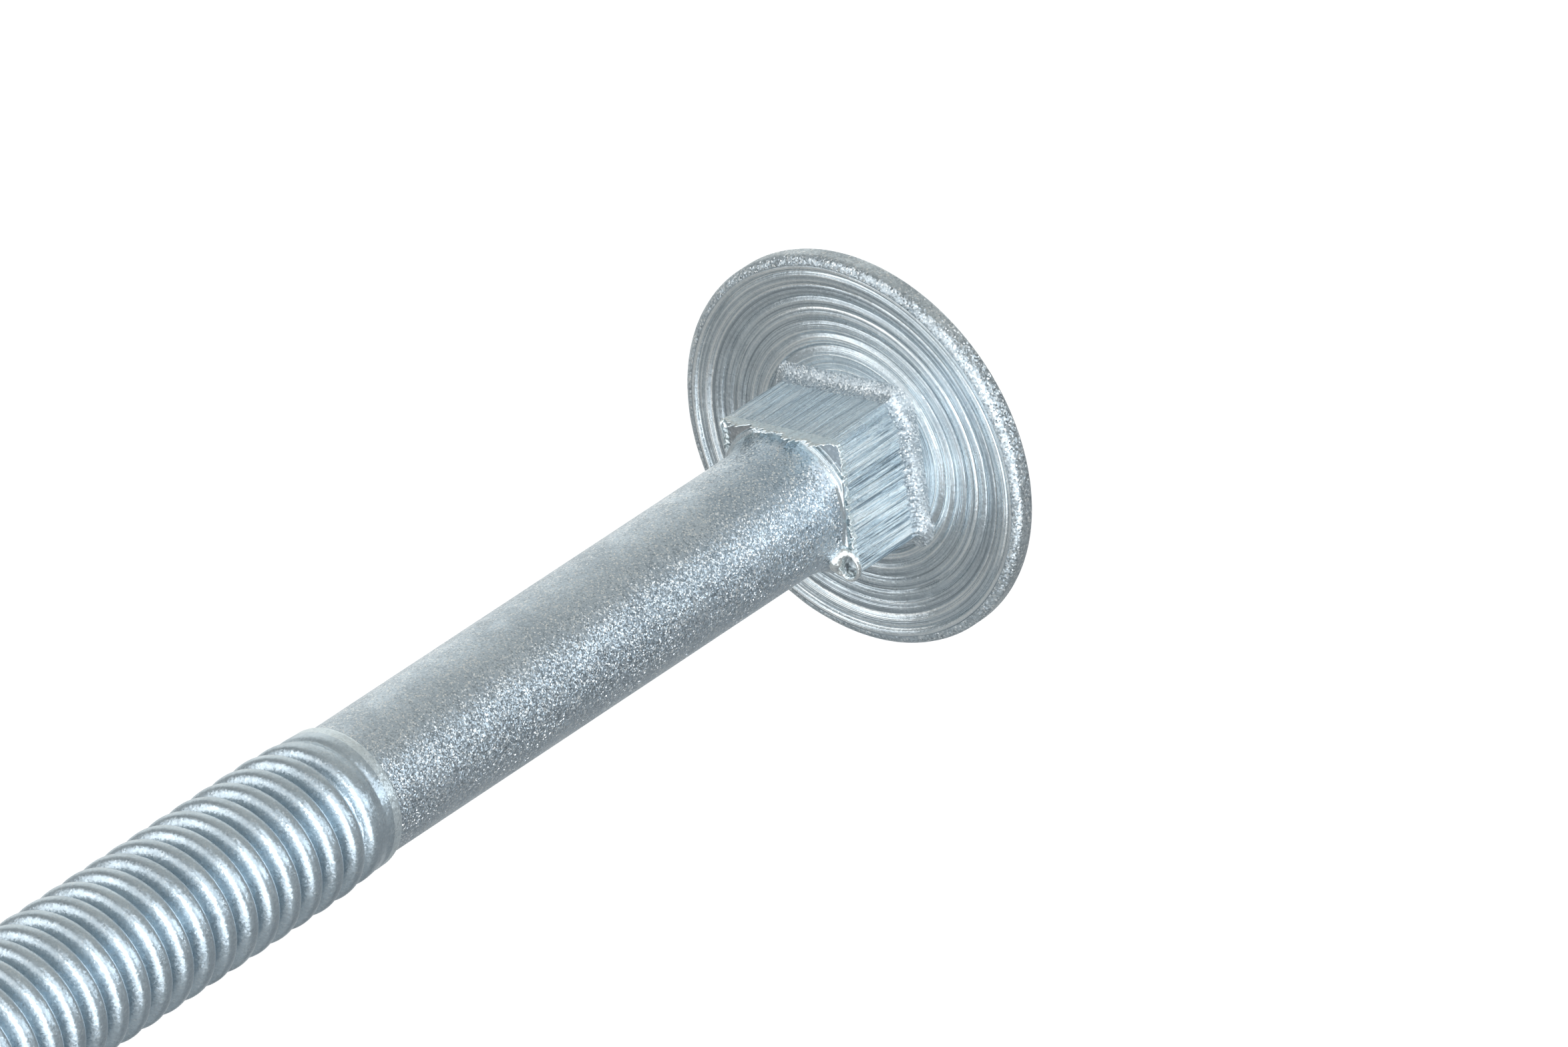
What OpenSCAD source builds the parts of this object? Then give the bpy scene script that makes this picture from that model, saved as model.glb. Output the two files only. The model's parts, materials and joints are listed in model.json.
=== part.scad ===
/* Carriage bolt: one cold-headed steel piece with a mushroom head, a square neck,
   a plain shank and a rolled thread. Millimetres. It lies on its side as it comes to
   rest, on the rim of the head and on the last full thread, with the floor at z = 0. */

/* [Head] */
// Outside diameter of the mushroom head
head_d = 16.4; // [12:0.1:24]
// Height of the head from the bearing lip to the top of the dome
head_h = 3.6; // [2.6:0.1:6]
// Thickness of the upright band round the rim
rim_t = 0.85; // [0.4:0.05:1.2]
// Rounding of the front edge of the rim
rim_round = 0.16; // [0.08:0.02:0.24]
// Width of the bearing lip, with the rounding
lip_w = 0.47; // [0.3:0.01:0.8]
// Distance by which the ridged underside lies below the bearing lip
dish = 0.2; // [0.12:0.02:0.4]
// Width of the slope from the lip down to the ridged underside
dish_w = 0.6; // [0.3:0.05:1]
// Number of round grooves in the underside
grooves = 7; // [3:1:8]
// Distance from the bearing lip to the bottom of the first groove
groove_edge = 0.18; // [0.14:0.01:0.5]
// Distance from one groove to the next
groove_gap = 0.53; // [0.4:0.01:0.6]
// Width of a groove
groove_w = 0.26; // [0.16:0.02:0.34]
// Depth of a groove below the ridges
groove_depth = 0.12; // [0.05:0.01:0.2]
// Upward offset of the head from the axis of the shank
head_shift = 0.43; // [0:0.01:0.6]
// Turn of the head about its own axis, in degrees, which keeps its seam off the lowest point
head_turn = 2.27; // [0:0.01:4.5]

/* [Neck] */
// Width of the square neck across its flats
neck_w = 5.75; // [4.6:0.05:7.5]
// Depth of the square neck from the bearing lip
neck_h = 3.8; // [2.4:0.1:6]
// Rounding of the four long edges of the neck
neck_round = 0.35; // [0.1:0.05:0.8]
// Height of the flare at the foot of the neck
flare_h = 0.3; // [0.1:0.05:0.6]
// Turn of the square about the axis of the bolt, in degrees
neck_turn = 6; // [-45:1:45]
// Upward offset of the square from the axis of the shank
neck_shift = 0.2; // [0:0.05:0.4]
// Diameter of the round collar in front of the square
collar_d = 6.4; // [6:0.05:6.6]
// Length of the cone from the collar to the shank
collar_l = 0.5; // [0.2:0.05:1.5]

/* [Shank] */
// Diameter of the plain shank
shank_d = 5.57; // [4.9:0.01:5.7]
// Length of the bolt from the bearing lip to the tip
bolt_l = 57.15; // [50:0.05:120]

/* [Thread] */
// Distance from the bearing lip to the start of the thread
thread_from = 31.2; // [20:0.1:40]
// Outside diameter of the thread over its crests
thread_d = 6.3; // [6:0.01:6.5]
// Diameter of the thread at its roots
root_d = 4.8; // [4.6:0.01:5.2]
// Distance from one crest to the next
pitch = 1.27; // [1:0.01:1.6]
// Length over which the thread grows to its full height
run_in = 3.3; // [1:0.1:6]

/* [Point] */
// Diameter of the face of the tip
point_d = 4.5; // [3:0.1:4.6]
// Length of the bare point ahead of the thread
point_l = 1.42; // [0.5:0.01:3]
// Length over which the last threads rise from the point to their full height
point_rise = 0.95; // [0.5:0.05:3]

/* [Hidden] */
$fn = 96;

// Colour of the zinc
zinc = [0.70, 0.74, 0.77];

// Radii
head_r = head_d / 2;
thread_r = thread_d / 2;
root_r = root_d / 2;
shank_r = shank_d / 2;
collar_r = collar_d / 2;
point_r = point_d / 2;
lip_in = head_r - lip_w;

// The dome is part of a ball that meets the back of the rim
dome_h = head_h - rim_t;
dome_r = (head_r * head_r + dome_h * dome_h) / (2 * dome_h);
dome_c = dome_r - head_h;

// Depth to which shapes that are joined reach into each other
bite = 0.4;

// Thread: one turn has six points from crest to crest, given along the pitch and up the height
prof_t = [0.12, 0.42, 0.58, 0.88, 0.955, 1.045];
prof_w = [0.90, 0, 0, 0.90, 1, 1];
rows = len(prof_t);
// Segments of a turn, and the place of the skin's seam, counted up from the lowest side,
// where the middle of a segment lies
seg = 28;
seam = 3.5;
// Height of the thread at its start, as a part of its full height
start_h = 0.5;
// Distance by which the roots deepen later than the crests rise
root_lag = 0.35;
// Rounded shoulder at the start of the thread: growth of the radius and length
shoulder = [[0.045, 0], [0.14, 0.08]];
// Middle of the first crest on the seam
thread_0 = thread_from + 0.04;
turns = floor((bolt_l - point_l - thread_0) / pitch - prof_t[0]);
// The last full crest on the lowest side, and its lowest corner
low_turn = prof_t[rows - 1] + 1 - floor(seam) / seg;
low_thread_r = thread_r * cos(180 / seg);
full = floor((bolt_l - point_l - point_rise - thread_0) / pitch - low_turn);
touch_x = thread_0 + pitch * (full + low_turn);

// Lean of the bolt between the lowest point of the rim and the lowest full crest
lean = atan((head_r - head_shift - low_thread_r) / (touch_x + rim_round));
floor_z = (head_r - head_shift) * cos(lean) - rim_round * sin(lean);
x_low = dome_c * cos(lean) + head_shift * sin(lean) - dome_r;
x_high = bolt_l * cos(lean) + point_r * sin(lean);

// A soft step from 0 to 1
function soft(t) = t <= 0 ? 0 : t >= 1 ? 1 : t * t * (3 - 2 * t);

// Crest, root and end cone of the thread at a distance x from the lip
function crest_r(x) = shank_r
    + (thread_r - shank_r) * (start_h + (1 - start_h) * soft((x - thread_from) / run_in));
function low_r(x) = let (c = crest_r(x))
    c - (c - root_r) * soft((x - thread_from - root_lag) / (run_in - root_lag));
function cone_r(x) = x > bolt_l - point_l
    ? point_r + (root_r - point_r) * (bolt_l - x) / point_l
    : root_r + (thread_r - root_r) * (bolt_l - point_l - x) / point_rise;

// A point of the thread: i counts the profile's points along the rod, j the segments of a turn
function turn_x(i, j) = thread_0 + pitch * (floor(i / rows) + prof_t[i % rows] + j / seg);
function turn_r(i, x) = min(cone_r(x), low_r(x) + prof_w[i % rows] * (crest_r(x) - low_r(x)));
function turn_p(i, j) = let (x = turn_x(i, j)) ring_p(turn_r(i, x), x, j);
function ring_p(r, x, j) = let (a = 360 * (j + seam) / seg) [r * cos(a), r * sin(a), x];

// Square bar with rounded long edges, offset and turned as the neck is
module square_bar(z0, z1) {
    half = neck_w / 2 - neck_round;
    translate([-neck_shift, 0, z0])
        rotate(neck_turn)
            linear_extrude(z1 - z0)
                union() {
                    square([2 * half, neck_w], center = true);
                    square([neck_w, 2 * half], center = true);
                    for (x = [-half, half], y = [-half, half])
                        translate([x, y])
                            circle(neck_round, $fn = 24);
                }
}

// One direction of the flare: a wedge across the foot of the neck
module flare_wedge() {
    low = neck_w / 2 + flare_h;
    linear_extrude(2 * neck_w, center = true)
        polygon([[-low, -dish - bite], [low, -dish - bite], [low, -dish], [neck_w / 2, flare_h - dish],
            [-neck_w / 2, flare_h - dish], [-low, -dish]]);
}

// Flare at the foot of the neck, narrowing over its height
module neck_flare() {
    translate([-neck_shift, 0, 0])
        rotate(neck_turn)
            intersection() {
                rotate([90, 0, 0])
                    flare_wedge();
                rotate([90, 0, 90])
                    flare_wedge();
            }
}

// Dome of the head, cut from a ball
module dome() {
    intersection() {
        translate([0, 0, dome_c])
            sphere(dome_r, $fn = 120);
        translate([0, 0, -head_h - bite])
            cylinder(h = dome_h + bite, r = head_r + bite);
    }
}

// Mushroom head: dome, rim, bearing lip and ridged underside
module head() {
    translate([-head_shift, 0, 0])
        rotate(head_turn)
            difference() {
                union() {
                    dome();
                    rotate_extrude()
                        polygon([
                            [0, -rim_t], [head_r, -rim_t], [head_r, -rim_round],
                            [head_r - 0.3 * rim_round, -0.3 * rim_round], [head_r - rim_round, 0],
                            [lip_in, 0], [lip_in - dish_w / 5, -0.4 * dish],
                            [lip_in - dish_w, -dish], [0, -dish]
                        ]);
                }
                for (k = [0 : grooves - 1])
                    groove(lip_in - groove_edge - k * groove_gap);
            }
}

// Cutter for one round groove, with its bottom at radius r
module groove(r) {
    half = groove_w / 2;
    rotate_extrude()
        polygon([[r - 1.8 * half, 0], [r - half, -dish], [r, -dish - groove_depth],
            [r + half, -dish], [r + 1.8 * half, 0]]);
}

// Square neck with its flared foot and the cone that leads to the shank
module neck() {
    square_bar(-dish - bite, neck_h);
    neck_flare();
    intersection() {
        square_bar(neck_h - bite, neck_h + collar_l);
        union() {
            translate([0, 0, neck_h - bite])
                cylinder(h = bite, r = collar_r);
            translate([0, 0, neck_h])
                cylinder(h = collar_l, r1 = collar_r, r2 = shank_r);
        }
    }
}

// Threaded part as one closed skin, from the shoulder to the face of the tip
module thread_rod() {
    last = turns * rows;
    n0 = len(shoulder);
    tip = (n0 + last + 1) * seg + rows;
    pts = concat(
        [for (s = shoulder, j = [0 : seg - 1]) ring_p(shank_r + s[0], thread_from + s[1], j)],
        [for (i = [0 : last], j = [0 : seg - 1]) turn_p(i, j)],
        [for (i = [last + 1 : last + rows]) turn_p(i, 0)],
        [for (j = [0 : seg - 1]) ring_p(point_r, bolt_l, j)]
    );
    // Index of a point: negative rows are the shoulder, and each turn ends where the next begins
    function at(i, j) = i < 0
        ? (n0 + i) * seg + j % seg
        : j == seg ? at(i + rows, 0)
        : i <= last ? (n0 + i) * seg + j
        : (n0 + last) * seg + seg + i - last - 1;
    // Two triangles between the edges a-b and c-d
    function pair(a, b, c, d) = [[a, b, c], [c, b, d]];
    faces = concat(
        [[for (j = [0 : seg - 1]) j]],
        [for (k = [-n0 : -2], j = [0 : seg - 1])
            each pair(at(k, j), at(k + 1, j), at(k, j + 1), at(k + 1, j + 1))],
        [for (j = [0 : seg - 2]) each pair(at(-1, j), at(0, j), at(-1, j + 1), at(0, j + 1))],
        pair(at(-1, seg - 1), at(0, seg - 1), at(-1, 0), at(0, 0)),
        [for (i = [0 : rows - 1]) [at(i, 0), at(0, seg - 1), at(i + 1, 0)]],
        [for (i = [0 : last - 1], j = [0 : seg - 1])
            each pair(at(i, j), at(i + 1, j), at(i, j + 1), at(i + 1, j + 1))],
        [for (i = [0 : rows - 1]) [at(last + i, 0), at(last + i + 1, 0), at(last, 1)]],
        pair(at(last + rows, 0), tip, at(last, 1), tip + 1),
        [for (j = [1 : seg - 2]) each pair(at(last, j), tip + j, at(last, j + 1), tip + j + 1)],
        pair(at(last, seg - 1), tip + seg - 1, at(last + rows, 0), tip),
        [[for (j = [seg - 1 : -1 : 0]) tip + j]]
    );
    polyhedron(pts, faces, convexity = 20);
}

// The whole bolt standing on its axis, the head below the lip
module upright() {
    head();
    neck();
    translate([0, 0, neck_h - bite])
        cylinder(h = thread_from - neck_h + 2 * bite, r = shank_r);
    thread_rod();
}

// The bolt laid down, with its tip towards +X
module bolt() {
    color(zinc)
        translate([-(x_low + x_high) / 2, 0, floor_z])
            rotate([0, 90 + lean, 0])
                upright();
}

bolt();
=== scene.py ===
"""A zinc-plated carriage bolt, lying on a white floor in soft studio light.

The bolt is one closed skin of rings round its axis, from the top of the dome to the
face of the tip. Sizes are in millimetres along the bolt's own directions: x from the
bearing lip towards the tip, up, and lat, to the side. bolt_point() takes them to the
scene, in metres.
"""
import functools
import json
import math

import bmesh
import bpy
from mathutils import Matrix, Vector, noise


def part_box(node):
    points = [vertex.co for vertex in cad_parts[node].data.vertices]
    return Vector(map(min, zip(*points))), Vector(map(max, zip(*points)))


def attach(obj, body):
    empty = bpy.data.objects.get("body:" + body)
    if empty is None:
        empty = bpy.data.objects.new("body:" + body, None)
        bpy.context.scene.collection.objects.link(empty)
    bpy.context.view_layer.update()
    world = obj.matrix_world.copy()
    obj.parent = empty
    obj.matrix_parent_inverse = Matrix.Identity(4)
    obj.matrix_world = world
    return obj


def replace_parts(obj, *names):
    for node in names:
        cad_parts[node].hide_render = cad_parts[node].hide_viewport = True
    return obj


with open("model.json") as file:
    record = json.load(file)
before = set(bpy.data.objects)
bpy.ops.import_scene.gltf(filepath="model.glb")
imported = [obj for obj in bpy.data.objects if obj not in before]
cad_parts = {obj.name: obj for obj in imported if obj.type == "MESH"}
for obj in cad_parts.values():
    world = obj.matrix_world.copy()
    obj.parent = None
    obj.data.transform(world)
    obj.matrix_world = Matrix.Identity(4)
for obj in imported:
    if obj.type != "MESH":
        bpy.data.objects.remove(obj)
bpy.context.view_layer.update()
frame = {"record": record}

MM = 0.001

# Head. HEAD_SHIFT is how far its middle lies above the shank's axis.
HEAD_SHIFT = 0.43
HEAD_R = 8.2
HEAD_H = 3.6
RIM_T = 0.85
RIM_ROUND = 0.16
# The rim's outline from the dome to the lip: x, and how far it stands past HEAD_R
RIM = (
    (-RIM_T - 0.05, -0.12), (-RIM_T, -0.03), (-RIM_T + 0.08, 0.0), (-0.62, 0.0), (-0.42, 0.0),
    (-0.27, 0.0), (-0.18, -0.03), (-0.11, -0.09), (-0.055, -0.16), (-0.02, -0.23),
    (0.0, -0.3), (0.0, -0.36),
)
# Its dents start after this many rings
RIM_EVEN = 7
LIP_R = 7.86
# The underside slopes in by DISH, from the lip to the radius DISH_FROM
DISH = 0.22
DISH_FROM = 6.1
# Radii of the ridges between the grooves, and the grooves' depth and fullness. The flanks are
# the widths of the outermost ridge's outer side and the innermost ridge's inner side.
GROOVES = (7.55, 6.97, 6.43, 5.98, 5.41, 4.87, 4.38)
GROOVE_DEPTH = 0.13
GROOVE_ROUND = 0.38
LIP_FLANK = 0.11
INNER_FLANK = 0.25
# Rings of the skin on the underside: radii on the lip's flank, shares of each groove's width,
# and radii inside the grooves. Rings near the neck's foot stay at least RING_GAP apart, and
# they get even over EVEN_L from EVEN_FROM outwards.
LIP_RINGS = (7.79, 7.70, 7.65, 7.61, 7.58)
GROOVE_RINGS = (0.0, 0.06, 0.17, 0.33, 0.5, 0.67, 0.83, 0.94)
INNER_RINGS = (4.38, 4.35, 4.28, 4.19, 4.1, 3.95, 3.75, 3.5, 3.2)
RING_GAP = 0.015
EVEN_FROM = 3.4
EVEN_L = 2.2

# Neck. It is turned about the axis and sits above it by NECK_SHIFT. TOP is its upper flat's number.
NECK_W = 5.75
NECK_H = 3.8
NECK_TURN = math.radians(6)
NECK_SHIFT = 0.2
TOP = 1
# Rounding of its edges: upper right, upper left, lower left and lower right
EDGE_ROUND = (0.60, 0.22, 0.30, 0.30)
# The worn facet on its upper right edge: direction, distance at the lip and growth along x
WORN_TURN = math.radians(30)
WORN_R = 3.33
WORN_GROWTH = 0.10
# Round at the neck's foot: radius, and where it starts
FOOT_R = 0.6
FOOT_X = -DISH - 0.02
# Height of the drawn lines, and the top flat's share of it
MARKS = 0.13
TOP_MARKS = 0.3
# Length of the front edge, and how deep the front face lies behind it and how far in it starts
EDGE_L = 0.2
FACE_DEPTH = 0.06
FACE_IN = 0.15
# How far the burr is torn out on the right, top, left and bottom flats. It fades over
# TORN_FADE from TORN_HALF to each side of a flat's middle.
TORN = (0.5, 1.7, 0.5, 0.3)
TORN_HALF = 2.3
TORN_FADE = 0.4
# Outline of the front edge: x from the neck's end, how far it stands out, its share of the burr
FRONT_EDGE = (
    (-0.12, 0.0, 0.1), (-0.04, 0.012, 0.6), (0.0, 0.005, 1.0),
    (-0.01, -0.035, 0.95), (-0.05, -0.07, 0.4), (-0.06, -0.13, 0.0),
)

# Collar, with its outline: x, and its share of the step between shank and collar. It looks
# like the shank from COLLAR_END on.
COLLAR_R = 3.23
COLLAR = (
    (3.76, 0.97), (3.85, 1.0), (3.91, 1.0), (3.95, 0.97), (3.975, 0.90), (3.99, 0.78), (4.01, 0.66),
    (4.06, 0.57), (4.16, 0.45), (4.3, 0.33), (4.5, 0.2), (4.72, 0.1), (4.95, 0.03),
)
COLLAR_END = 4.2

# Shank, thread and point. A crest passes the side of the bolt at CREST_AT, and the thread
# reaches its full height over RUN_IN.
SHANK_R = 2.785
SHANK_FROM = 5.4
SWELL = 0.0012
BOLT_L = 57.15
THREAD_FROM = 31.2
THREAD_R = 3.15
ROOT_R = 2.4
PITCH = 1.27
CREST_AT = 36.48
RUN_IN = 3.3
# Lengths at the thread's start: its step, its plain band, where the roots begin, its pale part
STEP_L = 0.12
BAND_L = 0.55
ROOTS_L = 0.35
PALE_L = 0.6
RINGS_PER_TURN = 16
CREST_HALF = 0.47
POINT_R = 2.25
POINT_L = 1.42
POINT_RISE = 0.95
# Edge of the tip: distance from the end and radius, then the count and radius of its face's rings
TIP_EDGE = ((0.08, POINT_R), (0.02, POINT_R - 0.03), (0.0, POINT_R - 0.1))
TIP_FACE = ((48, 1.6), (24, 0.9), (12, 0.4))
TIP_DENT = 0.03

# Torn curl at the neck's lower right front corner: its middle, radius and height over width
CURL_X = NECK_H + 0.22
CURL_UP = -1.84
CURL_LAT = 2.92
CURL_R = 0.44
CURL_TALL = 1.35

# Torn sliver at the upper left front corner: x from the neck's end, up, lat and radius
SLIVER = (
    (0.04, 2.7, -3.08, 0.07), (0.1, 2.6, -3.13, 0.09), (0.14, 2.5, -3.15, 0.07),
    (0.14, 2.38, -3.13, 0.05), (0.12, 2.2, -3.09, 0.045), (0.1, 1.95, -3.09, 0.04),
    (0.1, 1.7, -3.07, 0.035), (0.08, 1.45, -3.08, 0.02),
)
SLIVER_ENDS = ((-0.02, 2.74, -3.04), (0.08, 1.38, -3.11))

# The frame's own directions and the middle of the lip's plane
AXIS = Vector(next(m for m in frame["record"]["mounts"] if m["name"] == "bearing_lip")["axis"])
AXIS.normalize()
LAT = Vector((0, 1, 0))
UP = AXIS.cross(LAT)
DOME_H = HEAD_H - RIM_T
DOME_R = (HEAD_R ** 2 + DOME_H ** 2) / (2 * DOME_H)
LIP_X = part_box("bolt")[0].x / MM + DOME_R - (DOME_R - HEAD_H) * AXIS.x + HEAD_SHIFT * AXIS.z
LIP_Z = (HEAD_R - HEAD_SHIFT) * AXIS.x + RIM_ROUND * AXIS.z
ORIGIN = Vector((LIP_X, 0, LIP_Z))


def bolt_point(x, up, lat):
    """A place on the bolt, in the scene, in metres."""
    return (ORIGIN + AXIS * x + UP * up + LAT * lat) * MM


def soft(t):
    """A soft step from 0 to 1."""
    t = min(max(t, 0.0), 1.0)
    return t * t * (3 - 2 * t)


def wave(*place):
    """Smooth noise, from about -1 to 1."""
    return noise.noise(Vector(place + (0.0,) * (3 - len(place))))


def turns(n):
    """n even directions round the bolt, in radians from lat towards up."""
    return [2 * math.pi * k / n for k in range(n)]


# Rings

def circle(n, r, rise=0.0):
    """n points round a circle, each (up, lat)."""
    turn = 2 * math.pi / n
    return [(rise + r * math.sin(turn * k), r * math.cos(turn * k)) for k in range(n)]


def square_reach(angle, grow=0.0):
    """Distance from the neck's middle to its side in one direction, with rounded edges."""
    turned = (angle - NECK_TURN) / (math.pi / 2)
    corner = EDGE_ROUND[math.floor(turned) % 4] + grow
    half = NECK_W / 2 + grow
    off = abs((turned + 0.5) % 1.0 - 0.5) * math.pi / 2
    flat = half - corner
    if half * math.tan(off) <= flat:
        return half / math.cos(off)
    along = flat * (math.cos(off) + math.sin(off))
    return along + math.sqrt(max(along * along - 2 * flat * flat + corner * corner, 0))


def flat_side(angle):
    """The flat of a direction, 0 to 3 for right, top, left and bottom, and the place across it."""
    turned = (angle - NECK_TURN) / (math.pi / 2)
    side = math.floor(turned + 0.5)
    return side % 4, NECK_W / 2 * math.tan((turned - side) * math.pi / 2)


def worn_reach(angle, x):
    """Distance to the worn facet on the neck's upper right edge, which ends towards the front."""
    return (WORN_R + WORN_GROWTH * x) / max(math.cos(angle - WORN_TURN), 0.1)


def drawn_height(side, across, x):
    """Height of the drawn lines on a flat, from coarse ones to fine ones."""
    coarse = 0.6 * wave(across * 1.7, side * 7.3)
    middle = wave(across * 5.2, x * 0.15, side * 3.1 + 9)
    fine = 0.7 * wave(across * 12, x * 0.2, side * 5.7 + 4)
    return coarse + middle + fine


def square(n, grow=0.0, marks=0.0, x=0.0):
    """n points round the neck's outline, with its worn facet and drawn lines if it has marks."""
    points = []
    for angle in turns(n):
        r = square_reach(angle, grow)
        if marks:
            side, across = flat_side(angle)
            r = min(r, worn_reach(angle, x) + grow)
            r += marks * (TOP_MARKS if side == TOP else 1.0) * drawn_height(side, across, x)
        points.append((NECK_SHIFT + r * math.sin(angle), r * math.cos(angle)))
    return points


def underside_x(r, angle):
    """Place of the ridged underside along x, at a distance from the head's middle."""
    sway = 0.02 * wave(math.cos(angle) * 1.3, math.sin(angle) * 1.3, r * 0.4)
    r = r + sway
    x = -DISH + DISH * soft((r - DISH_FROM) / (LIP_R - DISH_FROM))
    for outer, inner in zip(GROOVES, GROOVES[1:]):
        if inner <= r <= outer:
            t = (r - inner) / (outer - inner)
            return x - GROOVE_DEPTH * (1 - (4 * t * (1 - t)) ** GROOVE_ROUND)
    if r > GROOVES[0]:
        return x - GROOVE_DEPTH * (1 - soft((r - GROOVES[0]) / LIP_FLANK))
    return x - GROOVE_DEPTH * (1 - soft((GROOVES[-1] - r) / INNER_FLANK))


def from_head(up, lat):
    """Distance and direction of a place from the head's middle."""
    return math.hypot(up - HEAD_SHIFT, lat), math.atan2(up - HEAD_SHIFT, lat)


def underside(r, index, foot):
    """One ring of the underside. Near the neck it keeps clear of the foot, further out it is even."""
    ring = []
    evenness = soft((r - EVEN_FROM) / EVEN_L)
    for even, (up, lat) in zip(turns(len(foot)), foot):
        reach, angle = from_head(up, lat)
        angle += ((even - angle + math.pi) % (2 * math.pi) - math.pi) * evenness
        far = max(r, reach + RING_GAP * index)
        x = underside_x(far, angle)
        ring.append((x, HEAD_SHIFT + far * math.sin(angle), far * math.cos(angle)))
    return ring


def at_x(x, points):
    """Puts a flat outline at a distance x from the lip."""
    return [(x, up, lat) for up, lat in points]


# Burr round the front edge of the neck

def burr(angle):
    """How far the torn edge stands in front of the neck. It fades towards the corners."""
    side, across = flat_side(angle)
    ragged = 0.12 + 0.18 * wave(across * 2.1, side * 4.4) + 0.24 * wave(across * 6.3, side * 2.2)
    if side == TOP:
        ragged += 0.10 + 0.12 * soft((0.6 - across) / 1.2) * (1 + 1.5 * wave(across * 9, 5.5))
    fade = 1 - 0.8 * soft((abs(across) - TORN_HALF) / TORN_FADE)
    return TORN[side] * fade * max(ragged, 0.0)


def front_edge(n, x, grow, share):
    """A ring round the neck's front edge, pulled forwards and out by a share of the burr."""
    ring = []
    for angle, (up, lat) in zip(turns(n), square(n, grow, MARKS, x)):
        torn = share * burr(angle)
        out = 1 + 0.2 * torn / NECK_W
        ring.append((x + torn, NECK_SHIFT + (up - NECK_SHIFT) * out, lat * out))
    return ring


def collar_reach(angle):
    """Radius of the collar, which the neck's flats cut off."""
    reach = square_reach(angle) - FACE_DEPTH
    up = NECK_SHIFT + reach * math.sin(angle)
    return min(COLLAR_R, math.hypot(up, reach * math.cos(angle)))


def round_ring(n, x, reach):
    """A ring about the axis at x, whose radius reach() gives for each direction."""
    return [(x, reach(angle) * math.sin(angle), reach(angle) * math.cos(angle)) for angle in turns(n)]


def collar(n, x, share):
    """A ring of the collar, at a share of its step out from the shank."""
    return round_ring(n, x, lambda angle: SHANK_R + (collar_reach(angle) - SHANK_R) * share)


# Thread

def crest_r(along):
    """Radius over the crests, which grows over the run-in."""
    return SHANK_R + (THREAD_R - SHANK_R) * (0.5 + 0.5 * soft(along / RUN_IN))


def thread_r(x, angle):
    """Radius of the threaded part: crests, roots, the run-in and the cone of the point."""
    turned = (x - CREST_AT) / PITCH - angle / (2 * math.pi)
    off = abs((turned + 0.5) % 1.0 - 0.5)
    along = x - THREAD_FROM
    high = crest_r(along)
    low = high - (high - ROOT_R) * soft((along - ROOTS_L) / (RUN_IN - ROOTS_L))
    if along < BAND_L:
        off *= soft(along / BAND_L)
    r = low + (high - low) * (1 - min(off / CREST_HALF, 1.0) ** 3)
    if x > BOLT_L - POINT_L:
        cone = POINT_R + (ROOT_R - POINT_R) * (BOLT_L - x) / POINT_L
    else:
        cone = ROOT_R + (THREAD_R - ROOT_R) * (BOLT_L - POINT_L - x) / POINT_RISE
    start = SHANK_R + (r - SHANK_R) * soft((along + 0.02) / STEP_L)
    return min(start, cone)


def thread(n, x):
    """A ring of the threaded part."""
    return round_ring(n, x, lambda angle: thread_r(x, angle))


# The skin

class Skin:
    """A closed skin of rings, each joined to the one before it."""

    def __init__(self):
        self.points = []
        self.faces = []
        self.zones = []
        self.last = None

    def pole(self, point, zone):
        """Closes the skin, or starts it, at one point."""
        self.points.append(point)
        tip = len(self.points) - 1
        if self.last:
            start, n = self.last
            self.face(zone, *[(start + k, start + (k + 1) % n, tip) for k in range(n)])
        self.last = (tip, 1)

    def ring(self, points, zone):
        """Adds a ring and joins it to the last one."""
        start, n = len(self.points), len(points)
        self.points += points
        if self.last:
            self.join(self.last, (start, n), zone)
        self.last = (start, n)

    def face(self, zone, *faces):
        self.faces += faces
        self.zones += [zone] * len(faces)

    def join(self, one, two, zone):
        """Joins two rings of the same count, or of which one has twice as many points."""
        (a, n), (b, m) = one, two
        if n == 1:
            self.face(zone, *[(a, b + k, b + (k + 1) % m) for k in range(m)])
        elif n == m:
            self.face(zone, *[(a + k, a + (k + 1) % n, b + (k + 1) % n, b + k) for k in range(n)])
        elif n == 2 * m:
            self.halve(a, n, b, m, zone)
        else:
            self.halve(b, m, a, n, zone)

    def halve(self, a, n, b, m, zone):
        """Joins a ring of n points from a to one of half as many from b."""
        for k in range(m):
            first, second, third = a + 2 * k, a + 2 * k + 1, a + (2 * k + 2) % n
            near, far = b + k, b + (k + 1) % m
            self.face(zone, (first, second, near), (second, third, far), (second, far, near))


# Points in a ring: on the neck's flats, round them, on the shank and on the thread
FINE, WIDE, PLAIN, COARSE = 768, 384, 192, 96


def head_rings(skin):
    """Dome and rim, up to the bearing lip."""
    skin.pole((-HEAD_H, HEAD_SHIFT, 0.0), "dome")
    counts = [24, 48, COARSE] + [PLAIN] * 13
    for k, n in enumerate(counts, 1):
        r = HEAD_R * k / (len(counts) + 1)
        x = DOME_R - HEAD_H - math.sqrt(DOME_R ** 2 - r ** 2)
        skin.ring(at_x(x, circle(n, r, HEAD_SHIFT)), "dome")
    for k, (x, grow) in enumerate(RIM):
        points = []
        for up, lat in circle(WIDE if k > 1 else PLAIN, HEAD_R + grow, HEAD_SHIFT):
            dent = 0.012 * wave(up * 1.7, lat * 1.7, x * 2)
            points.append((x + dent if k >= RIM_EVEN else x, up, lat))
        skin.ring(points, "rim")


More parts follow.
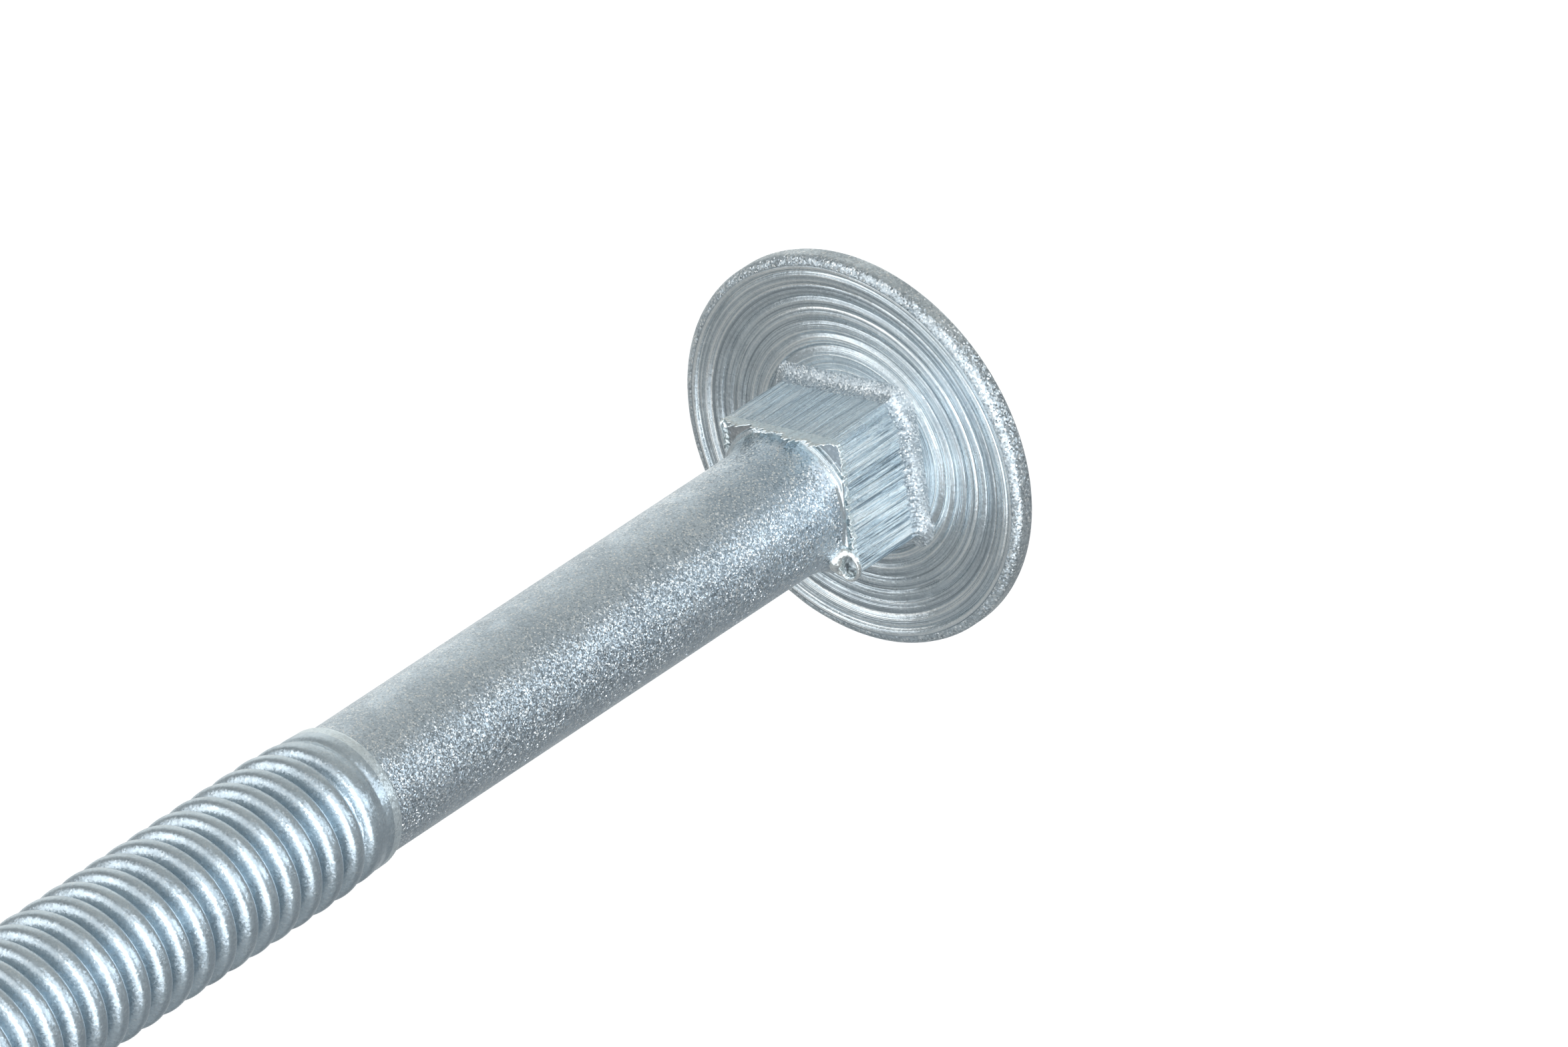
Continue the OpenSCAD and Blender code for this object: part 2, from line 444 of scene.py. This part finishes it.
def underside_rings(skin):
    """Lip, ridges and grooves, and the smooth ring round the neck's foot."""
    radii = list(LIP_RINGS)
    for outer, inner in zip(GROOVES, GROOVES[1:]):
        radii += [outer + (inner - outer) * share for share in GROOVE_RINGS]
    radii += INNER_RINGS
    foot = square(WIDE, FOOT_R)
    for k, r in enumerate(radii):
        skin.ring(underside(r, len(radii) - k, foot), "underside")


def neck_rings(skin):
    """Foot, sides, torn front edge and front face of the neck."""
    root = [(underside_x(*from_head(up, lat)), up, lat) for up, lat in square(WIDE, FOOT_R)]
    skin.ring(root, "underside")
    steps = 5
    for k in range(1, steps + 1):
        angle = math.pi / 2 * k / steps
        x = FOOT_X + FOOT_R * (1 - math.cos(angle))
        points = square(FINE, FOOT_R * (1 - math.sin(angle)), MARKS * (k / steps) ** 3, x)
        skin.ring(at_x(x, points), "foot")
    start = FOOT_X + FOOT_R
    steps = 8
    for k in range(1, steps + 1):
        x = start + (NECK_H - EDGE_L - start) * k / steps
        skin.ring(at_x(x, square(FINE, 0.0, MARKS, x)), "neck")
    for x, grow, share in FRONT_EDGE:
        skin.ring(front_edge(FINE, NECK_H + x, grow, share), "burr")
    outer = square(WIDE, -FACE_IN)
    inner = round_ring(WIDE, NECK_H, collar_reach)
    for share in (0.05, 0.5, 0.9):
        points = []
        for (up, lat), (_, inner_up, inner_lat) in zip(outer, inner):
            points.append((up + (inner_up - up) * share, lat + (inner_lat - lat) * share))
        skin.ring(at_x(NECK_H - FACE_DEPTH, points), "face")


def collar_rings(skin):
    """The collar's step and its hollow run down to the shank."""
    for x, share in COLLAR:
        skin.ring(collar(WIDE, x, share), "collar" if x < COLLAR_END else "shank")


def shank_rings(skin):
    """The plain shank, with a slight swell here and there."""
    steps = 26
    for k in range(steps + 1):
        x = SHANK_FROM + (THREAD_FROM - 0.06 - SHANK_FROM) * k / steps
        points = []
        for up, lat in circle(PLAIN, SHANK_R):
            swell = 1 + SWELL * wave(x * 0.3, up * 0.8, lat * 0.8)
            points.append((x, up * swell, lat * swell))
        skin.ring(points, "shank")


def thread_rings(skin):
    """The start of the thread, its turns, the point and the face of the tip."""
    for along in (-0.02, 0.01, 0.04, 0.08):
        skin.ring(thread(COARSE, THREAD_FROM + along), "start")
    x = THREAD_FROM + 0.14
    while x < BOLT_L - 0.15:
        skin.ring(thread(COARSE, x), "start" if x < THREAD_FROM + PALE_L else "thread")
        x += PITCH / RINGS_PER_TURN
    for from_end, r in TIP_EDGE:
        skin.ring(at_x(BOLT_L - from_end, circle(COARSE, r)), "thread")
    face = BOLT_L - TIP_DENT
    for n, r in TIP_FACE:
        skin.ring(at_x(face, circle(n, r)), "thread")
    skin.pole((face, 0.0, 0.0), "thread")


# Pieces

def add_piece(name, points, faces, zones):
    """A closed piece of the bolt, which moves with its solid. Each zone has its own material."""
    mesh = bpy.data.meshes.new(name)
    mesh.from_pydata([bolt_point(*p) for p in points], [], faces)
    order = []
    for zone in zones:
        if zone not in order:
            order.append(zone)
            mesh.materials.append(zinc_of(zone))
    mesh.polygons.foreach_set("material_index", [order.index(zone) for zone in zones])
    work = bmesh.new()
    work.from_mesh(mesh)
    bmesh.ops.recalc_face_normals(work, faces=work.faces)
    work.to_mesh(mesh)
    work.free()
    mesh.polygons.foreach_set("use_smooth", [True] * len(mesh.polygons))
    piece = bpy.data.objects.new(name, mesh)
    bpy.context.scene.collection.objects.link(piece)
    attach(piece, "root")
    return piece


def build_bolt():
    """The whole bolt in one skin, in place of the solid."""
    skin = Skin()
    for rings in (head_rings, underside_rings, neck_rings, collar_rings, shank_rings, thread_rings):
        rings(skin)
    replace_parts(add_piece("plated_bolt", skin.points, skin.faces, skin.zones), "bolt")


def build_curl():
    """The torn curl of metal at the neck's lower front corner, a ring that is thick on one side."""
    around, across = 48, 16
    points, faces = [], []
    for k, angle in enumerate(turns(around)):
        up, lat = math.sin(angle), math.cos(angle)
        thick = 0.12 + 0.34 * max(math.cos(angle - 2.7), 0) ** 2 + 0.05 * wave(3 * up, 3 * lat)
        middle = CURL_X + 0.1 * math.cos(angle - 2.4)
        near, far = k * across, (k + 1) % around * across
        for j, turn in enumerate(turns(across)):
            r = CURL_R + thick * math.cos(turn) * 0.7
            x = middle + 1.2 * thick * math.sin(turn)
            points.append((x, CURL_UP + CURL_TALL * r * up, CURL_LAT + r * lat))
            after = (j + 1) % across
            faces.append((near + j, near + after, far + after, far + j))
    add_piece("torn_curl", points, faces, ["curl"] * len(faces))


def build_sliver():
    """The thin sliver that hangs from the neck's upper left corner."""
    skin = Skin()
    (top_x, *top), (low_x, *low) = SLIVER_ENDS
    skin.pole((NECK_H + top_x, *top), "burr")
    for x, up, lat, r in SLIVER:
        middle = NECK_H + x
        skin.ring([(middle + r * math.cos(a), up, lat + r * math.sin(a)) for a in turns(12)], "burr")
    skin.pole((NECK_H + low_x, *low), "burr")
    add_piece("torn_sliver", skin.points, skin.faces, skin.zones)


# Materials

class Shade:
    """Adds shader nodes and links them, in a new material of a given name or in the world."""

    def __init__(self, owner):
        self.owner = bpy.data.materials.new(owner) if isinstance(owner, str) else owner
        self.owner.use_nodes = True
        self.tree = self.owner.node_tree
        self.tree.nodes.clear()

    def finish(self, node):
        """Links the last node to the output."""
        kind = "OutputWorld" if isinstance(self.owner, bpy.types.World) else "OutputMaterial"
        self.tree.links.new(node.outputs[0], self.node(kind).inputs["Surface"])

    def node(self, kind, inputs=None, **settings):
        """A new node. An input is a value, or the socket that it is linked to."""
        node = self.tree.nodes.new("ShaderNode" + kind)
        for key, value in settings.items():
            setattr(node, key, value)
        for key, value in (inputs or {}).items():
            if isinstance(value, bpy.types.NodeSocket):
                self.tree.links.new(value, node.inputs[key])
            else:
                node.inputs[key].default_value = value
        return node

    def maths(self, operation, a, b=0.0, c=0.0):
        return self.node("Math", {0: a, 1: b, 2: c}, operation=operation).outputs[0]

    def vector(self, operation, a, b=(0, 0, 0)):
        return self.node("VectorMath", {0: a, 1: b}, operation=operation).outputs[0]

    def scaled(self, vector, scale):
        return self.node("VectorMath", {0: vector, "Scale": scale}, operation="SCALE").outputs[0]

    def split(self, vector):
        return self.node("SeparateXYZ", {"Vector": vector}).outputs

    def noise(self, place, scale, detail=2.0, rough=0.5):
        inputs = {"Vector": place, "Scale": scale, "Detail": detail, "Roughness": rough}
        return self.node("TexNoise", inputs).outputs["Fac"]

    def range(self, value, low, high, to_low=0.0, to_high=1.0):
        """Maps low and high to to_low and to_high, and stays within them."""
        inputs = {"Value": value, "From Min": low, "From Max": high, "To Min": to_low, "To Max": to_high}
        return self.node("MapRange", inputs).outputs[0]

    def mix(self, factor, a, b):
        """Mixes two colours, from a to b."""
        node = self.node("Mix", data_type="RGBA")
        for socket, value in ((node.inputs[0], factor), (node.inputs[6], a), (node.inputs[7], b)):
            if isinstance(value, bpy.types.NodeSocket):
                self.tree.links.new(value, socket)
            else:
                socket.default_value = value if isinstance(value, float) else (*value, 1.0)
        return node.outputs[2]


# Colours of the plating: plain, clouded, and the dark and pale ones of lines and crystals. On the
# drawn lines and turned rings the dark one is painted shade and the pale one painted highlight.
ZINC = (0.63, 0.71, 0.76)
ZINC_DARK = (0.40, 0.46, 0.50)
ZINC_DEEP = (0.24, 0.29, 0.33)
ZINC_PALE = (0.92, 0.95, 0.95)
LEAN = math.atan2(-AXIS.z, AXIS.x)
BUMP = 0.00003


def bolt_place(s):
    """The place in the bolt's own millimetres: X from the lip towards the tip, Z up."""
    return s.node("Mapping", {
        "Vector": s.node("TexCoord").outputs["Object"], "Location": tuple(ORIGIN * MM),
        "Rotation": (0, LEAN, 0), "Scale": (MM, MM, MM),
    }, vector_type="TEXTURE").outputs[0]


def drawn_lines(s, place, colour, height, often, depth):
    """Lines drawn along the bolt, fewer of them on the top flat. The lines are real marks in the bump;
    their dark and pale colour is painted shade in the hollows and painted highlight on the ridges.
    """
    along = s.node("Mapping", {"Vector": place, "Scale": (0.03, 1, 1)}).outputs[0]
    drawn = s.noise(along, often, 4.0, 0.7)
    height = s.maths("ADD", height, s.maths("MULTIPLY", drawn, depth))
    fewer = s.range(s.split(place)["Z"], 2.5, 3.1, 1.0, 0.4)
    colour = s.mix(s.maths("MULTIPLY", s.range(drawn, 0.46, 0.38), fewer), colour, ZINC_DEEP)
    colour = s.mix(s.maths("MULTIPLY", s.range(drawn, 0.50, 0.56), fewer), colour, ZINC_PALE)
    return colour, height


def turned_rings(s, place, colour, height, often, depth):
    """Fine rings round the head's middle, as a lathe leaves them. The rings are real marks in the bump;
    their dark and pale colour is painted shade in the hollows and painted highlight on the crests.
    """
    up = s.maths("SUBTRACT", s.split(place)["Z"], HEAD_SHIFT)
    lat = s.split(place)["Y"]
    square_sum = s.maths("ADD", s.maths("MULTIPLY", up, up), s.maths("MULTIPLY", lat, lat))
    spread = s.maths("MULTIPLY", s.maths("SQRT", square_sum), often)
    turned = s.node("CombineXYZ", {"X": spread, "Y": s.noise(place, 0.25, 1.0)}).outputs[0]
    cut = s.noise(turned, 1.0, 3.0, 0.6)
    height = s.maths("ADD", height, s.maths("MULTIPLY", cut, depth))
    colour = s.mix(s.range(cut, 0.46, 0.34, 0.0, 0.75), colour, ZINC_DEEP)
    colour = s.mix(s.range(cut, 0.54, 0.64, 0.0, 0.65), colour, ZINC_PALE)
    return colour, height


def zinc(name, glitter, grain, rough, patches=0.5, lines=None, rings=None, tone_and_painted_light=(1, 1, 1), falls=False):
    """Bright zinc plating: crystals that sparkle, cloudy patches and drawn or turned lines.

    glitter is how far the crystals differ, grain their size in millimetres, and lines and rings
    each say how often they come and how deep they are. With falls, the glitter grows downwards.
    The colour scale is a painted sheen on the neck, a painted highlight on the burr and curl, and
    painted shade on the front face; elsewhere it shifts the zinc's colour.
    """
    s = Shade(name)
    place = bolt_place(s)
    cloud = s.noise(place, 0.55, 3.0, 0.6)
    fine = s.noise(place, 9.0, 3.0, 0.65)
    light = tuple(a * b for a, b in zip(ZINC, tone_and_painted_light))
    dark = tuple(a * b for a, b in zip(ZINC_DARK, tone_and_painted_light))
    patch = s.range(cloud, 0.35, 0.68, 0.0, patches)
    colour = s.mix(s.maths("ADD", patch, s.range(fine, 0.4, 0.75, 0.0, 0.35)), light, dark)
    crystal = s.node("TexVoronoi", {"Vector": place, "Scale": 1 / grain}).outputs["Color"]
    shade = s.split(crystal)["X"]
    colour = s.mix(s.range(shade, 0.35, 0.0, 0.0, glitter), colour, ZINC_DEEP)
    colour = s.mix(s.range(shade, 0.75, 1.0, 0.0, glitter * 1.5), colour, ZINC_PALE)
    amount = s.range(cloud, 0.3, 0.7, glitter * 0.55, glitter * 1.25)
    if falls:
        amount = s.maths("MULTIPLY", amount, s.range(s.split(place)["Z"], 2.5, -0.6, 0.45, 1.5))
    tilt = s.scaled(s.vector("SUBTRACT", crystal, (0.5, 0.5, 0.5)), amount)
    normal = s.vector("NORMALIZE", s.vector("ADD", s.node("NewGeometry").outputs["Normal"], tilt))
    height = s.maths("MULTIPLY", fine, 0.35)
    if lines:
        colour, height = drawn_lines(s, place, colour, height, *lines)
    if rings:
        colour, height = turned_rings(s, place, colour, height, *rings)
    bump = s.node("Bump", {"Strength": 0.6, "Distance": BUMP, "Height": height, "Normal": normal})
    s.finish(s.node("BsdfPrincipled", {
        "Base Color": colour, "Metallic": 1.0, "Normal": bump.outputs[0],
        "Roughness": s.range(cloud, 0.3, 0.7, rough * 0.85, rough * 1.2),
    }))
    return s.owner


# The look of each part of the bolt: glitter, grain, roughness and how much it is clouded
ZONES = {
    "dome": lambda: zinc("zinc dome", 0.2, 0.08, 0.28, 0.4),
    "rim": lambda: zinc("zinc rim", 0.60, 0.07, 0.38, 0.8),
    "underside": lambda: zinc("zinc underside", 0.13, 0.08, 0.26, 0.5, rings=(8.0, 3.6)),
    "foot": lambda: zinc("zinc foot", 0.60, 0.06, 0.50, 0.6, tone_and_painted_light=(0.96, 0.95, 0.95)),
    # The curl is paler than the other zinc: a painted highlight.
    "curl": lambda: zinc("zinc curl painted highlight", 0.35, 0.07, 0.24, 0.1, tone_and_painted_light=(1.3, 1.22, 1.15)),
    # The neck is paler than the other zinc: a painted sheen.
    "neck": lambda: zinc("zinc neck painted sheen", 0.20, 0.07, 0.24, 0.3, lines=(8.5, 6.0), tone_and_painted_light=(1.14, 1.14, 1.13)),
    # The burr and sliver are paler than the other zinc: a painted highlight on the torn edge.
    "burr": lambda: zinc("zinc burr painted highlight", 0.30, 0.07, 0.42, 0.2, tone_and_painted_light=(1.2, 1.15, 1.08)),
    # The front face is darker than the other zinc: painted shade where it lies back behind the torn
    # edge.
    "face": lambda: zinc("zinc front face painted shade", 0.2, 0.08, 0.30, 0.7, tone_and_painted_light=(0.76, 0.72, 0.71)),
    "collar": lambda: zinc("zinc collar", 0.16, 0.07, 0.24, 0.3),
    "shank": lambda: zinc("zinc shank", 0.72, 0.056, 0.35, 0.55, tone_and_painted_light=(0.96, 0.99, 1.03), falls=True),
    "thread": lambda: zinc("zinc thread", 0.16, 0.08, 0.32, 0.4, tone_and_painted_light=(0.93, 0.97, 1.0)),
    "start": lambda: zinc("zinc thread start", 0.25, 0.08, 0.40, 0.1, tone_and_painted_light=(1.22, 1.22, 1.2)),
}


@functools.cache
def zinc_of(zone):
    """The material of one part of the bolt."""
    return ZONES[zone]()


# Camera, floor and light

CAMERA_RISE = 25.09
CAMERA_TURN = 38.30
CAMERA_LENS = 613.3
SENSOR = 36.0
# The middle of the lip's plane, seen from the camera in millimetres: right, down and away
LIP_SEEN = Vector((2.595, -2.399, 1029.308))

LAMP_COLOUR = (0.88, 0.95, 1.0)

# The floor: what the camera sees of its own light, the share of the room's light that gloss
# sees in it, and the grey that takes the shadow
FLOOR_HALF = 2.0
FLOOR_WHITE = (0.87, 0.87, 0.87)
FLOOR_GLOSS = 0.58
FLOOR_GREY = (0.34, 0.34, 0.34, 1)

# What the bolt's gloss sees round it: a grey room with broad pale and dark parts, each
# with its turn and rise in degrees, the cosine at which it starts, and its colour
ROOM = (0.335, 0.34, 0.335)
PARTS = (
    (-140, -2, 0.50, (0.74, 0.74, 0.71)),
    (180, 60, 0.60, (0.20, 0.19, 0.17)),
    (160, -40, 0.55, (-0.21, -0.21, -0.20)),
    (-5, -8, 0.87, (1.7, 1.7, 1.7)),
    (50, -20, 0.84, (3.3, 3.4, 3.5)),
    (46, 14, 0.92, (5.4, 5.5, 5.6)),
    (-40, 20, 0.88, (1.6, 1.6, 1.6)),
    (-5, 38, 0.80, (0.7, 0.7, 0.7)),
    (84, 42, 0.86, (1.3, 1.35, 1.4)),
)


def heading(turn, rise):
    """A direction in the scene, from its turn about Z and its rise above the floor."""
    turn, rise = math.radians(turn), math.radians(rise)
    return Vector((math.cos(turn) * math.cos(rise), math.sin(turn) * math.cos(rise), math.sin(rise)))


def add_camera():
    """A long lens, above and in front of the thread, aimed by the place of the lip in its view."""
    data = bpy.data.cameras.new("camera")
    data.lens = CAMERA_LENS
    data.sensor_width = SENSOR
    data.clip_end = 20.0
    back = heading(CAMERA_TURN, CAMERA_RISE)
    right = heading(CAMERA_TURN + 90, 0)
    down = right.cross(back)
    camera = bpy.data.objects.new("camera", data)
    camera.location = (ORIGIN - right * LIP_SEEN.x - down * LIP_SEEN.y + back * LIP_SEEN.z) * MM
    camera.rotation_euler = back.to_track_quat("Z", "Y").to_euler()
    bpy.context.scene.collection.objects.link(camera)
    bpy.context.scene.camera = camera


def room_light(s, way):
    """The colour of the room in one direction."""
    colour = ROOM
    for turn, rise, start, strength in PARTS:
        near = s.node("VectorMath", {0: way, 1: tuple(heading(turn, rise))}, operation="DOT_PRODUCT")
        edge = {"Value": near.outputs["Value"], "From Min": start, "From Max": 1.0}
        share = s.node("MapRange", edge, interpolation_type="SMOOTHSTEP").outputs[0]
        colour = s.vector("ADD", colour, s.scaled(strength, share))
    return colour


def add_floor():
    """White to the camera, with a soft shadow. Gloss and glass see the room in it."""
    s = Shade("white floor")
    path = s.node("LightPath").outputs
    gloss = s.maths("MAXIMUM", path["Is Glossy Ray"], path["Is Transmission Ray"])
    way = s.vector("MULTIPLY", s.node("NewGeometry").outputs["Incoming"], (-1, -1, -1))
    seen = s.mix(path["Is Camera Ray"], room_light(s, way), FLOOR_WHITE)
    share = s.maths("MAXIMUM", path["Is Camera Ray"], s.maths("MULTIPLY", gloss, FLOOR_GLOSS))
    white = s.node("Emission", {"Color": seen, "Strength": share})
    shadow = s.node("BsdfDiffuse", {"Color": FLOOR_GREY})
    s.finish(s.node("AddShader", {0: shadow.outputs[0], 1: white.outputs[0]}))
    mesh = bpy.data.meshes.new("floor")
    signs = ((-1, -1), (1, -1), (1, 1), (-1, 1))
    corners = [(x * FLOOR_HALF, y * FLOOR_HALF, 0) for x, y in signs]
    mesh.from_pydata(corners, [], [(0, 1, 2, 3)])
    mesh.materials.append(s.owner)
    floor = bpy.data.objects.new("floor", mesh)
    bpy.context.scene.collection.objects.link(floor)


def add_world():
    """White to the camera, and the room to all else."""
    world = bpy.data.worlds.new("studio")
    bpy.context.scene.world = world
    world.use_nodes = True
    s = Shade(world)
    camera = s.node("LightPath").outputs["Is Camera Ray"]
    seen = s.mix(camera, room_light(s, s.node("TexCoord").outputs["Generated"]), (1, 1, 1))
    s.finish(s.node("Background", {"Color": seen}))


def add_lamp(name, turn, rise, away, width, height, radiance):
    """A soft box that faces the bolt, with its distance and size in metres."""
    data = bpy.data.lights.new(name, "AREA")
    data.shape = "RECTANGLE"
    data.size, data.size_y = width, height
    data.energy = radiance * math.pi * width * height
    data.color = LAMP_COLOUR
    lamp = bpy.data.objects.new(name, data)
    way = heading(turn, rise)
    lamp.location = way * away
    lamp.rotation_euler = way.to_track_quat("Z", "Y").to_euler()
    bpy.context.scene.collection.objects.link(lamp)


def main():
    add_camera()
    add_floor()
    add_world()
    add_lamp("key soft box", 118, 18, 0.5, 0.28, 0.17, 2.1)
    add_lamp("side soft box", 72, 12, 0.5, 0.28, 0.14, 0.7)
    build_bolt()
    build_curl()
    build_sliver()
    bpy.context.scene.view_settings.view_transform = "Standard"


main()
